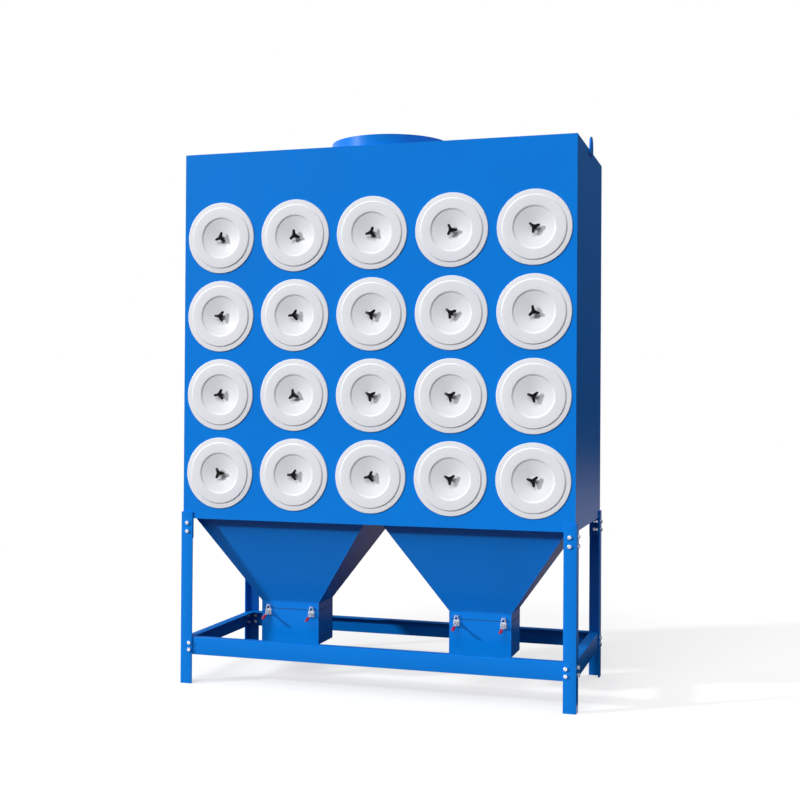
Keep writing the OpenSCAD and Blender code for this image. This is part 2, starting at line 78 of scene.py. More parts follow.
BAIL_LEN, BAIL_HALF, BAR_HALF, BAIL_STRAIGHT = 48 * MM, 13 * MM, 7 * MM, 20 * MM
WIRE_R, BAR_OUT = 2.25 * MM, 9 * MM
LEVER_LEN, LEVER_DIP, GRIP_LEN = 75 * MM, math.radians(20), 40 * MM


# Shapes

def net(n, m, wrap_n=False, wrap_m=True):
    """Quads between the points of an n by m grid: point (i, j) joins (i + 1, j), (i + 1, j + 1)
    and (i, j + 1), and the last row or column joins the first where it wraps."""
    i = np.arange(n if wrap_n else n - 1)[:, None]
    j = np.arange(m if wrap_m else m - 1)[None, :]
    i2, j2 = (i + 1) % n, (j + 1) % m
    return np.stack([i * m + j, i2 * m + j, i2 * m + j2, i * m + j2], -1).reshape(-1, 4)


def rounded(points, radii, steps=5):
    """A polyline whose corners become arcs. A corner's arc touches its sides at radius over the
    tangent of half its angle, and its centre lies on the bisector at radius over the sine."""
    p = np.asarray(points, float)
    corner, a, b = p[1:-1], p[:-2] - p[1:-1], p[2:] - p[1:-1]
    a = a / np.linalg.norm(a, axis=1, keepdims=True)
    b = b / np.linalg.norm(b, axis=1, keepdims=True)
    half = np.arccos(np.clip((a * b).sum(1), -1, 1))[:, None] / 2
    r = np.broadcast_to(np.asarray(radii, float), len(corner))[:, None]
    bisector = (a + b) / np.linalg.norm(a + b, axis=1, keepdims=True)
    centre = corner + bisector * r / np.sin(half)
    start, end = (corner + side * r / np.tan(half) - centre for side in (a, b))
    turn = (np.pi - 2 * half)[:, :, None]
    t = np.linspace(0, 1, steps)[None, :, None]
    arc = (np.sin((1 - t) * turn) * start[:, None] + np.sin(t * turn) * end[:, None]) / np.sin(turn)
    return np.vstack([p[:1], (centre[:, None] + arc).reshape(-1, p.shape[1]), p[-1:]])


def revolve(profile, segments=96, loop=False):
    """Turns a profile of (radius, height) round the Z axis: (r cos t, r sin t, height). A loop's
    last point joins its first, and any other profile begins and ends on the axis."""
    r, z = np.asarray(profile, float).T
    t = np.linspace(0, 2 * np.pi, segments, endpoint=False)
    points = np.stack([np.outer(r, np.cos(t)), np.outer(r, np.sin(t)),
                       np.repeat(z[:, None], segments, 1)], -1)
    return points.reshape(-1, 3), net(len(r), segments, wrap_n=loop)


def stack(outlines, heights):
    """Joins outlines of equal point counts, each at its height, into one closed skin."""
    outlines = np.asarray(outlines, float)
    z = np.broadcast_to(np.asarray(heights, float), outlines.shape[:2])
    points = np.concatenate([outlines, z[:, :, None]], 2)
    return points.reshape(-1, 3), net(*outlines.shape[:2])


def tube(path, radius, sides=12, across=(0, 0, 1), closed=False):
    """Carries a circle along a flat path: each ring is spanned by the path plane's normal and by
    the cross product of the path's direction with that normal. Open ends close to a point."""
    p = np.asarray(path, float)
    along = np.roll(p, -1, 0) - np.roll(p, 1, 0) if closed else np.gradient(p, axis=0)
    along = along / np.linalg.norm(along, axis=1, keepdims=True)
    normal = np.broadcast_to(np.asarray(across, float), p.shape)
    side = np.cross(along, normal)
    t = np.linspace(0, 2 * np.pi, sides, endpoint=False)[None, :, None]
    r = np.broadcast_to(np.asarray(radius, float), len(p))[:, None, None]
    rings = p[:, None] + r * (np.cos(t) * side[:, None] + np.sin(t) * normal[:, None])
    if not closed:
        ends = [np.repeat(p[k][None, None], sides, 1) for k in (0, -1)]
        rings = np.concatenate([ends[0], rings, ends[1]])
    return rings.reshape(-1, 3), net(len(rings), sides, wrap_n=closed)


def along(corners, spacing, closed=True):
    """Points at an even spacing along straight runs between corners."""
    c = np.asarray(corners, float)
    c = np.vstack([c, c[:1]]) if closed else c
    far = np.concatenate([[0], np.cumsum(np.linalg.norm(np.diff(c, axis=0), axis=1))])
    count = max(int(far[-1] / spacing), 2)
    s = np.linspace(0, far[-1], count, endpoint=not closed)
    return np.stack([np.interp(s, far, c[:, k]) for k in range(3)], 1)


def move(shape, matrix=None, offset=(0, 0, 0)):
    """The shape's points times a 3 by 3 matrix, plus an offset."""
    points, faces = shape
    points = points if matrix is None else points @ np.asarray(matrix, float).T
    return points + np.asarray(offset, float), faces


def copies(shape, matrices, offsets):
    """One copy of the shape for each matrix and offset, as one shape."""
    points, faces = shape
    matrices, offsets = np.asarray(matrices, float), np.asarray(offsets, float)
    all_points = np.einsum("nij,vj->nvi", matrices, points) + offsets[:, None]
    first = (np.arange(len(offsets)) * len(points))[:, None, None]
    return all_points.reshape(-1, 3), (faces[None] + first).reshape(-1, faces.shape[1])


def turn_x(angle):
    """Rotation about X by an angle in radians."""
    c, s = math.cos(angle), math.sin(angle)
    return np.array([[1, 0, 0], [0, c, -s], [0, s, c]])


def facing(out, spin=0.0):
    """Matrix that turns local Z to the level direction `out` and local Y to up, after a turn of
    `spin` radians about local Z."""
    w = np.asarray(out, float)
    v = np.array([0, 0, 1.0])
    u = np.cross(v, w)
    c, s = math.cos(spin), math.sin(spin)
    return np.stack([u, v, w], 1) @ np.array([[c, -s, 0], [s, c, 0], [0, 0, 1]])


def piece(name, shapes, finish, body="collector", replaces=(), sharp=35):
    """One object from closed shapes: doubles merged, faces turned outwards, smooth shading with
    edges sharper than `sharp` degrees kept crisp."""
    shapes = shapes if isinstance(shapes, list) else [shapes]
    points = np.concatenate([s[0] for s in shapes])
    starts = np.cumsum([0] + [len(s[0]) for s in shapes[:-1]])
    faces = [f for s, start in zip(shapes, starts) for f in (s[1] + start).tolist()]
    mesh = bpy.data.meshes.new(name)
    mesh.from_pydata(points.tolist(), [], faces)
    bm = bmesh.new()
    bm.from_mesh(mesh)
    bmesh.ops.remove_doubles(bm, verts=bm.verts, dist=2e-6)
    bmesh.ops.recalc_face_normals(bm, faces=bm.faces)
    bm.to_mesh(mesh)
    bm.free()
    mesh.polygons.foreach_set("use_smooth", [True] * len(mesh.polygons))
    mesh.set_sharp_from_angle(angle=math.radians(sharp))
    mesh.materials.append(finish)
    made = bpy.data.objects.new(name, mesh)
    bpy.context.scene.collection.objects.link(made)
    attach(made, body)
    if replaces:
        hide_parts(*replaces)
    return made


# Finishes

def linear(code):
    """An sRGB hex colour as linear red, green, blue and alpha."""
    c = np.array([int(code[k:k + 2], 16) for k in (1, 3, 5)]) / 255
    c = np.where(c <= 0.04045, c / 12.92, ((c + 0.055) / 1.055) ** 2.4)
    return (*c.tolist(), 1.0)


def add(tree, kind, inputs=None, **settings):
    """Adds a node: settings are its own properties, inputs are values or sockets to link."""
    node = tree.nodes.new(kind)
    for key, value in settings.items():
        setattr(node, key, value)
    for key, value in (inputs or {}).items():
        if isinstance(value, bpy.types.NodeSocket):
            tree.links.new(value, node.inputs[key])
        else:
            node.inputs[key].default_value = value
    return node


def start_finish(name):
    """An empty material: its tree and its object coordinates."""
    made = bpy.data.materials.new(name)
    made.use_nodes = True
    made.node_tree.nodes.clear()
    coords = add(made.node_tree, "ShaderNodeTexCoord").outputs["Object"]
    return made, made.node_tree, coords


def end_finish(tree, shader):
    add(tree, "ShaderNodeOutputMaterial", {"Surface": shader.outputs[0]})


def blend_colours(tree, share, first, second):
    """Two colours mixed by a share, as a colour socket."""
    mixed = add(tree, "ShaderNodeMix", {0: share, 6: first, 7: second}, data_type="RGBA")
    return mixed.outputs[2]


def ramp(tree, value, low, high):
    """0 below `low`, 1 above `high`, straight between."""
    return add(tree, "ShaderNodeMapRange",
               {"Value": value, "From Min": low, "From Max": high}).outputs[0]


def coat(name, colour, shade, roughness, ior, cloud=0.4, peel=3 * MM, relief=0.03 * MM):
    """Powder coat on steel sheet: an even colour with a faint cloud from the film's thickness, and
    the shallow dimples, a few millimetres wide, that the powder leaves when it flows."""
    made, tree, coords = start_finish(name)
    drift = add(tree, "ShaderNodeTexNoise", {"Vector": coords, "Scale": 1 / cloud, "Detail": 3.0})
    dimples = add(tree, "ShaderNodeTexNoise", {"Vector": coords, "Scale": 1 / peel, "Detail": 1.0})
    tone = blend_colours(tree, ramp(tree, drift.outputs[0], 0.3, 0.7), linear(colour),
                         linear(shade))
    bump = add(tree, "ShaderNodeBump", {"Height": dimples.outputs[0], "Strength": 0.5,
                                        "Distance": relief})
    shader = add(tree, "ShaderNodeBsdfPrincipled",
                 {"Base Color": tone, "Roughness": roughness, "IOR": ior,
                  "Normal": bump.outputs[0]})
    end_finish(tree, shader)
    return made, tree, coords, shader


blue_paint, *_ = coat("blue_powder_coat", "#027bdd", "#0477d6", 0.3, 1.27)


def white_cover():
    """White powder coat with a few dark specks of burnt powder, a millimetre or two wide."""
    made, tree, coords, shader = coat("white_powder_coat", "#e4e5e9", "#dfe1e7", 0.38, 1.35)
    cells = add(tree, "ShaderNodeTexVoronoi", {"Vector": coords, "Scale": 1 / (34 * MM)})
    tone = add(tree, "ShaderNodeSeparateColor", {"Color": cells.outputs["Color"]})
    chosen = ramp(tree, tone.outputs[0], 0.93, 0.94)
    near = ramp(tree, cells.outputs["Distance"], 0.045, 0.03)
    speck = add(tree, "ShaderNodeMath", {0: chosen, 1: near}, operation="MULTIPLY").outputs[0]
    base = shader.inputs["Base Color"].links[0].from_socket
    tree.links.new(blend_colours(tree, speck, base, linear("#5d5f66")),
                   shader.inputs["Base Color"])
    return made


def zinc_plate(name, colour, shade, roughness, metallic=1.0, grain=9 * MM):
    """Zinc on steel: a metal whose passivated film drifts a little in tone and gloss over about a
    centimetre. A hazy film, less than wholly metallic, whitens it."""
    made, tree, coords = start_finish(name)
    film = add(tree, "ShaderNodeTexNoise", {"Vector": coords, "Scale": 1 / grain, "Detail": 4.0})
    fine = add(tree, "ShaderNodeTexNoise", {"Vector": coords, "Scale": 1 / (0.8 * MM)})
    tone = blend_colours(tree, ramp(tree, film.outputs[0], 0.3, 0.7), linear(colour),
                         linear(shade))
    gloss = add(tree, "ShaderNodeMapRange",
                {"Value": film.outputs[0], "From Min": 0.2, "From Max": 0.8,
                 "To Min": roughness - 0.06, "To Max": roughness + 0.08})
    bump = add(tree, "ShaderNodeBump", {"Height": fine.outputs[0], "Strength": 0.25,
                                        "Distance": 0.02 * MM})
    shader = add(tree, "ShaderNodeBsdfPrincipled",
                 {"Base Color": tone, "Metallic": metallic, "Roughness": gloss.outputs[0],
                  "Normal": bump.outputs[0]})
    end_finish(tree, shader)
    return made


def moulded(name, colour, shade, roughness, ior=1.46, grain=0.6 * MM, relief=0.02 * MM):
    """Moulded or dipped plastic and rubber: one colour with a fine skin grain."""
    made, tree, coords = start_finish(name)
    skin = add(tree, "ShaderNodeTexNoise", {"Vector": coords, "Scale": 1 / grain, "Detail": 2.0})
    drift = add(tree, "ShaderNodeTexNoise", {"Vector": coords, "Scale": 1 / (30 * MM)})
    tone = blend_colours(tree, ramp(tree, drift.outputs[0], 0.3, 0.7), linear(colour),
                         linear(shade))
    bump = add(tree, "ShaderNodeBump", {"Height": skin.outputs[0], "Strength": 0.4,
                                        "Distance": relief})
    shader = add(tree, "ShaderNodeBsdfPrincipled",
                 {"Base Color": tone, "Roughness": roughness, "IOR": ior,
                  "Normal": bump.outputs[0]})
    end_finish(tree, shader)
    return made


def worn_keeper():
    """The neck's paint on a welded keeper, worn through to bright steel on the hook that stands
    out in front, where the bail rubs."""
    made, tree, coords, shader = coat("worn_blue_coat", "#027bdd", "#0477d6", 0.3, 1.27)
    out = add(tree, "ShaderNodeSeparateXYZ", {"Vector": coords}).outputs["Y"]
    front = ramp(tree, out, BIN_FACE - 3 * MM, BIN_FACE - 5 * MM)
    rear = ramp(tree, out, BIN_BACK + 3 * MM, BIN_BACK + 5 * MM)
    worn = add(tree, "ShaderNodeMath", {0: front, 1: rear}, operation="MAXIMUM").outputs[0]
    base = shader.inputs["Base Color"].links[0].from_socket
    tree.links.new(blend_colours(tree, worn, base, linear("#e3e5e8")),
                   shader.inputs["Base Color"])
    tree.links.new(worn, shader.inputs["Metallic"])
    return made


white_coat = white_cover()
bright_zinc = zinc_plate("bright_zinc_plate", "#eff1f4", "#dee1e6", 0.26, metallic=0.72)
cap_zinc = zinc_plate("galvanised_sheet", "#b3b7bb", "#9fa4aa", 0.42, grain=18 * MM)
black_plastic = moulded("black_phenolic", "#060607", "#09090b", 0.3, ior=1.25)
red_vinyl = moulded("dipped_red_vinyl", "#b01a36", "#a4162f", 0.28)
seal_rubber = moulded("black_sponge_rubber", "#17171a", "#1e1e22", 0.85, grain=1.5 * MM,
                      relief=0.2 * MM)
filter_paper = moulded("spunbond_polyester_media", "#d8d4c8", "#cbc6b8", 0.9, grain=0.5 * MM,
                       relief=0.1 * MM)

for node, finish in {
    **dict.fromkeys(
        ("front_panel", "left_panel", "right_panel", "rear_panel", "roof_panel", "floor_plate",
         "tube_sheet", "inlet_collar", "outlet_collar", "lifting_lugs", "hopper_left",
         "hopper_right", "dust_bin_left", "dust_bin_right", "leg_front_left", "leg_front_right",
         "leg_rear_left", "leg_rear_right", "corner_brackets", "front_rail", "rear_rail",
         "left_rail", "right_rail"), blue_paint),
    **dict.fromkeys(
        ("tie_rods", "latch_bases", "latch_lever_1", "latch_lever_2",
         "latch_lever_3", "latch_lever_4", "rear_latch_levers"), bright_zinc),
    "bin_gaskets": seal_rubber, "latch_keepers": worn_keeper(),
}.items():
    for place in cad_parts[node].material_slots:
        place.material = finish


# Covers, knobs, cartridges

def grid_places(rows, forward=0.0):
    """Centres on the front panel's plane, `forward` metres in front of it."""
    x = (np.arange(COLUMNS) - (COLUMNS - 1) / 2) * PITCH_X
    z = UNDER_Z + GRID_MID + ((ROWS - 1) / 2 - np.asarray(rows)) * PITCH_Z
    xx, zz = np.meshgrid(x, z)
    return np.stack([xx, np.full_like(xx, FRONT_Y - forward), zz], -1).reshape(-1, 3)


def cover_shape():
    """Spun sheet cover: flange, step, crown and a cone-shaped dish round a flat hub, its section
    turned round the axis, with every fold rounded."""
    face = rounded([(6.5, -9.5), (24, -9.5), (101, 5), (108.5, 10), (158, 10), (163, 5),
                    (188, 5), (188, 0.2)], [10, 8, 6, 3, 1.5, 3])
    back = rounded([(185.5, 0.2), (185.5, 2.6), (160.6, 2.6), (155.6, 7.6), (109.3, 7.6),
                    (106.8, 3.8), (24, -12), (6.5, -12)], [0.8, 1.5, 1, 1.5, 1, 8], steps=3)
    return revolve(np.vstack([face, back]) * MM, 128, loop=True)


def knob_shape():
    """Three-armed star knob. Its outline in polar form is the greater of the hub's radius and of
    the nearer of each arm's straight flank and round tip, smoothed over 3 degrees; the arms
    droop with the square of the distance from the middle."""
    reach, tip, root, hub, edge = 26.0, 6.0, 8.5, 11.0, 2.4
    t = np.linspace(0, 2 * np.pi, 3600, endpoint=False)
    near = np.abs((t + np.pi / 3) % (2 * np.pi / 3) - np.pi / 3)
    flank = root / (np.sin(near) + (root - tip) / reach * np.cos(near))
    inside = np.clip(tip ** 2 - (reach * np.sin(near)) ** 2, 0, None)
    end = reach * np.cos(near) + np.sqrt(inside)
    r = np.where(reach * np.sin(near) < tip, np.minimum(flank, end), flank)
    r = np.maximum(r, hub)
    r = np.convolve(np.tile(r, 3), np.ones(31) / 31, "same")[3600:7200]
    dense = np.stack([r * np.cos(t), r * np.sin(t)], 1)
    far = np.concatenate([[0], np.cumsum(np.linalg.norm(np.diff(dense, axis=0), axis=1))])
    s = np.linspace(0, far[-1], 96, endpoint=False)
    outline = np.stack([np.interp(s, far, dense[:, k]) for k in (0, 1)], 1)
    ahead = np.roll(outline, -1, 0) - np.roll(outline, 1, 0)
    normal = np.stack([ahead[:, 1], -ahead[:, 0]], 1)
    normal /= np.linalg.norm(normal, axis=1, keepdims=True)
    inner = outline - edge * normal
    unit = outline / np.linalg.norm(outline, axis=1, keepdims=True)

    def top(points):
        return 30 - 7.5 * (np.linalg.norm(points, axis=1) / 32) ** 2

    rings, heights = [], []
    for k in (0, 0.2, 0.45, 0.7, 0.88):
        rings.append(inner * k)
        heights.append(top(inner * k))
    for a in np.radians([0, 30, 60, 90]):
        rings.append(outline - edge * (1 - math.sin(a)) * normal)
        heights.append(top(inner) - edge * (1 - math.cos(a)))
    for a in np.radians([0, 45, 90]):
        rings.append(outline - edge * (1 - math.cos(a)) * normal)
        heights.append(np.full(len(s), 15 + edge * (1 - math.sin(a))))
    for radius, height in ((9.9, 15), (9.9, 14.5), (10.9, 1), (10.4, 0), (0, 0)):
        rings.append(unit * radius)
        heights.append(np.full(len(s), float(height)))
    points, faces = stack(rings, heights)
    return points * MM, faces


def place_on_front(shape, rows, forward=0.0, spins=None):
    places = grid_places(rows, forward)
    spins = np.zeros(len(places)) if spins is None else np.radians(np.ravel(spins))
    return copies(shape, [facing((0, -1, 0), a) for a in spins], places)


cover = cover_shape()
for row in range(ROWS):
    piece(f"cover_row_{row + 1}", place_on_front(cover, [row]), white_coat,
          replaces=(f"access_covers_row_{row + 1}",), sharp=50)

piece("star_knob_set", place_on_front(knob_shape(), range(ROWS), HUB_UP, KNOB_TURNS),
      black_plastic, replaces=("star_knobs",), sharp=50)


def pleats_shape(count=140):
    """Pleated media between the end caps: the outer radius swings between fold tops and valleys
    as a triangle wave of the angle, round a smooth inner core."""
    front, back = -23.5, -666.0
    t = np.linspace(0, 2 * np.pi, 2 * count, endpoint=False)
    outer = np.where(np.arange(2 * count) % 2, 158.5, 149.0)
    core = np.full(2 * count, 105.5)
    circle = np.stack([np.cos(t), np.sin(t)], 1)
    rings = [outer[:, None] * circle, outer[:, None] * circle, core[:, None] * circle,
             core[:, None] * circle]
    points, _ = stack(rings, [[front], [back], [back], [front]])
    return points * MM, net(4, 2 * count, wrap_n=True)


front_cap = revolve(rounded([(0, -12), (152, -12), (154, -14), (162.5, -14), (162.5, -24),
                             (0, -24)], [2, 1, 1.5, 1]) * MM, 64)
rear_cap = revolve(rounded([(104.9, -678), (162.4, -678), (162.4, -666), (104.9, -666),
                            (104.9, -677.9)], [1.5, 1, 1]) * MM, 64, loop=True)
cartridge_seal = revolve(rounded([(117, -689.9), (141, -689.9), (141, -678.1), (117, -678.1),
                                  (117, -689.8)], [4, 0.5, 0.5]) * MM, 64, loop=True)
piece("cartridge_media", place_on_front(pleats_shape(), range(ROWS)), filter_paper,
      replaces=("cartridges",), sharp=20)
piece("cartridge_caps", [place_on_front(front_cap, range(ROWS)),
                         place_on_front(rear_cap, range(ROWS))], cap_zinc)
piece("cartridge_seals", place_on_front(cartridge_seal, range(ROWS)), seal_rubber)


# Bolts

def hexagon(flats, segments=36):
    """Polar outline of a hexagon: half the width across flats over the cosine of the angle from
    the nearest flat's middle."""
    t = np.linspace(0, 2 * np.pi, segments, endpoint=False)
    r = flats / 2 / np.cos((t % (np.pi / 3)) - np.pi / 6)
    return r, np.stack([np.cos(t), np.sin(t)], 1)


def hex_head(flats=18.0, height=7.5):
    """Bolt head whose top is turned to a cone of 30 degrees: each point sinks by its distance
    outside the turned circle times the tangent of 30 degrees."""
    r, unit = hexagon(flats)
    circle = np.full_like(r, flats / 2 * 0.95)
    sink = (r - circle) * math.tan(math.radians(30))
    rings = [0 * unit, r[:, None] * unit, r[:, None] * unit, circle[:, None] * unit,
             0.55 * circle[:, None] * unit, 0 * unit]
    zero = np.zeros_like(r)
    points, faces = stack(rings, [zero, zero, height - sink, zero + height,
                                  zero + height - 0.4, zero + height - 0.4])
    return points * MM, faces


def hex_nut(flats=18.0, height=10.0):
    """Nut with both faces turned to cones, as the bolt head's top is."""
    r, unit = hexagon(flats)
    circle = np.full_like(r, flats / 2 * 0.95)
    sink = (r - circle) * math.tan(math.radians(30))
    rings = [0 * unit, circle[:, None] * unit, r[:, None] * unit, r[:, None] * unit,
             circle[:, None] * unit, 0 * unit]
    zero = np.zeros_like(r)
    points, faces = stack(rings, [zero, zero, sink, height - sink, zero + height, zero + height])
    return points * MM, faces


def thread_end(radius=6.0, start=0.0, stop=16.0, pitch=1.75):
    """Threaded bolt end: the radius falls from the crest with a triangle wave of height over
    pitch less the turn's share, which winds the crest into a helix."""
    t = np.linspace(0, 2 * np.pi, 24, endpoint=False)
    z = np.arange(start, stop, pitch / 4)
    phase = (z[:, None] / pitch - t[None] / (2 * np.pi)) % 1
    r = radius - 1.0 * np.abs(2 * phase - 1)
    r = np.vstack([np.zeros(24), r, np.full(24, radius - 1.4), np.zeros(24)])
    z = np.concatenate([[start], z, [stop, stop]])
    unit = np.stack([np.cos(t), np.sin(t)], 1)
    points, faces = stack(r[:, :, None] * unit, z[:, None])
    return points * MM, faces


washer = revolve(rounded([(0, 0), (9.2, 0), (9.2, 2.5), (0, 2.5)], [0.3, 0.5], steps=3) * MM, 32)
washer_t = 2.5 * MM
outs, spots, spins = [], [], []
for sx in (-1, 1):
    for sy in (-1, 1):
        corner_x, corner_y = sx * (SIDE_X + LEG_T), MID_Y + sy * (REAR_Y - MID_Y + LEG_T)
        for inset, heights in ((UPPER_BOLT_IN, UPPER_BOLTS), (LOWER_BOLT_IN, LOWER_BOLTS)):
            for z in heights:
                outs += [(0, sy, 0), (sx, 0, 0)]
                spots += [(corner_x - sx * inset, corner_y, z),
                          (corner_x, corner_y - sy * inset, z)]
outs, spots = np.array(outs, float), np.array(spots)
spins = np.random.default_rng(4).uniform(0, math.pi / 3, (2, len(outs)))
heads = [facing(o, a) for o, a in zip(outs, spins[0])]
nuts = [facing(-o, a) for o, a in zip(outs, spins[1])]
inner = spots - outs * (LEG_T + LAP_T)
piece("frame_bolts", [
    copies(washer, heads, spots), copies(hex_head(), heads, spots + outs * washer_t),
    copies(washer, nuts, inner), copies(hex_nut(), nuts, inner - outs * washer_t),
    copies(thread_end(), nuts, inner - outs * washer_t),
], bright_zinc, sharp=30)


# Stand

def angle_bar(size, wide, high, thick, cope=0.0):
    """Rolled steel angle with its level flange on top: a section with a round root and eased
    toes, as rings of (inward, up) carried along the bar. Within `cope` of each end the flange is
    cut away: there its points are pressed back onto the upright flange's inner face."""
    section = rounded([(0, high / 2), (0, 0), (thick, 0), (thick, high - thick),
                       (wide, high - thick), (wide, high), (0, high), (0, high / 2)],
                      np.array([0.2, 0.4, 1.2, 0.4, 0.2, 0.3]) * thick)[:-1]
    upright = np.stack([np.minimum(section[:, 0], thick), section[:, 1]], 1)
    middle = np.zeros_like(section) + (thick / 2, high - thick / 2)
    rings, places = [middle, section, section, middle], [0, 0, size, size]
    if cope:
        rings = [middle, upright, upright, section, section, upright, upright, middle]
        places = [0, 0, cope, cope, size - cope, size - cope, size, size]
    return stack(rings, (np.array(places) - size / 2)[:, None])


def stand_bar(node, inward, up, thick, cope=0.0):
    """Dresses a rail or leg: the bar fills the node's box, with its heel where `inward` points
    away from and `up` points to."""
    inward, up = np.array(inward, float), np.array(up, float)
    run = np.abs(np.cross(inward, up))
    low_end, high_end = (np.array(corner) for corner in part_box(node))
    size, middle = high_end - low_end, (low_end + high_end) / 2
    wide, high = size @ np.abs(inward), size @ np.abs(up)
    shape = angle_bar(size @ run, wide, high, thick, cope)
    start = middle - inward * wide / 2 - up * high / 2
    piece(f"{node}_angle", move(shape, np.stack([inward, up, run], 1), start), blue_paint,
          replaces=(node,), sharp=50)


COPE = 45 * MM
stand_bar("front_rail", (0, 1, 0), (0, 0, 1), LAP_T)
stand_bar("rear_rail", (0, -1, 0), (0, 0, 1), LAP_T)
stand_bar("left_rail", (1, 0, 0), (0, 0, 1), LAP_T, cope=COPE)
stand_bar("right_rail", (-1, 0, 0), (0, 0, 1), LAP_T, cope=COPE)
for end, sy in (("front", -1), ("rear", 1)):
    for side, sx in (("left", -1), ("right", 1)):
        stand_bar(f"leg_{end}_{side}", (-sx, 0, 0), (0, sy, 0), LEG_T)


# Welds

def bead(corners, size, closed=True, across=(0, 0, 1), ripple=4.5 * MM):
    """Fillet weld: a round bead along straight runs whose radius swells by a tenth with each
    ripple of the pool, as the sine of the distance along it."""
    path = along(corners, ripple / 3, closed)
    swell = 1 + 0.1 * np.sin(np.arange(len(path)) * 2 * np.pi / 3)
    return tube(path, size * swell, 6, across, closed)


def ring(centre, radius, count=240, normal="z"):
    """Points of a circle round an upright or a front-to-back axis."""
    t = np.linspace(0, 2 * np.pi, count, endpoint=False)
    flat = {"z": (np.cos(t), np.sin(t), 0 * t), "y": (np.cos(t), 0 * t, np.sin(t))}[normal]
    return np.asarray(centre) + radius * np.stack(flat, 1)


inlet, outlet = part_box("inlet_collar"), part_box("outlet_collar")
inlet_r, outlet_r = (inlet[1].x - inlet[0].x) / 2, (outlet[1].x - outlet[0].x) / 2
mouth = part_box("hopper_left")
beads = [
    bead(ring((0, (inlet[0].y + inlet[1].y) / 2, ROOF_Z), inlet_r), 2.5 * MM),
    bead(ring((0, REAR_Y, (outlet[0].z + outlet[1].z) / 2), outlet_r, normal="y"), 2.5 * MM,
         across=(0, 1, 0)),
]
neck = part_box("dust_bin_left")
NECK_FOOT = mouth[0].z
FOLD_Z = NECK_FOOT + 39 * MM
RIPPLE = 7 * MM
for side in (-1, 1):
    def rim(box, z):
        """The four corners of one side's box, seen from above, at a height."""
        return np.array([(side * box[i].x, box[j].y, z) for i, j in ((0, 0), (1, 0), (1, 1),
                                                                     (0, 1))])

    tops, folds = rim(mouth, UNDER_Z), rim(neck, FOLD_Z)
    beads.append(bead(tops, 2.2 * MM, ripple=RIPPLE))
    beads.append(bead(folds, 1.4 * MM, ripple=RIPPLE))
    for top, fold in zip(tops, folds):
        outward = (top - fold) * (1, 1, 0)
        level = np.cross(outward, (0, 0, 1)) / np.linalg.norm(outward)
        beads.append(bead([top, fold, (fold[0], fold[1], NECK_FOOT)], 1.4 * MM, closed=False,
                          across=level, ripple=RIPPLE))
        beads.append(bead([(fold[0], fold[1], neck[1].z), (fold[0], fold[1], neck[0].z)],
                          1.4 * MM, closed=False, across=level, ripple=RIPPLE))
piece("weld_beads", beads, blue_paint, sharp=70)


# Latches

crank_u = PIVOT_OUT - CRANK * math.sin(PAST_CENTRE)
crank_v = -PIVOT_DROP - CRANK * math.cos(PAST_CENTRE)
lean = math.asin((BAR_OUT - crank_u) / BAIL_LEN)


def bail_shape():
    """Wire bail: a round wire carried along pins, legs and bar with round bends."""
    a, b, c, z = BAIL_HALF, 6.6 * MM, BAR_HALF, BAIL_LEN
    flat = rounded([(-b, 0), (-a, 0), (-a, BAIL_STRAIGHT), (-c, z), (c, z), (a, BAIL_STRAIGHT),
                    (a, 0), (b, 0)], np.array([3.2, 20, 3.5, 3.5, 20, 3.2]) * MM, steps=9)
    path = np.stack([flat[:, 0], 0 * flat[:, 0], flat[:, 1]], 1)
    return move(tube(path, WIRE_R, 16, (0, 1, 0)), turn_x(lean), (0, -crank_u, crank_v))


def grip_shape():
    """Dipped grip: a flattened oval section, a superellipse of power 3, carried along the lever,
    drawn in at its mouth and closed round at its tip."""
    t = np.linspace(0, 2 * np.pi, 40, endpoint=False)
    x = 8.5 * MM * np.sign(np.cos(t)) * np.abs(np.cos(t)) ** (2 / 2.6)
    z = 4.5 * MM * np.sign(np.sin(t)) * np.abs(np.sin(t)) ** (2 / 2.6)
    s = np.array([0, 0, 0.3, 1.2, 3, 10, 20, 30, 35, 37.5, 39, 39.8, 40, 40]) * MM
    wide = np.array([0, 0.86, 0.93, 0.98, 0.98, 1, 1, 1, 0.98, 0.9, 0.75, 0.5, 0.25, 0])
    start = -(LEVER_LEN - GRIP_LEN + 3 * MM)
    points = np.stack([wide[:, None] * x, start - s[:, None] + 0 * x, wide[:, None] * z], -1)
    return move((points.reshape(-1, 3), net(len(s), 40)), turn_x(LEVER_DIP),
                (0, -PIVOT_OUT, -PIVOT_DROP))


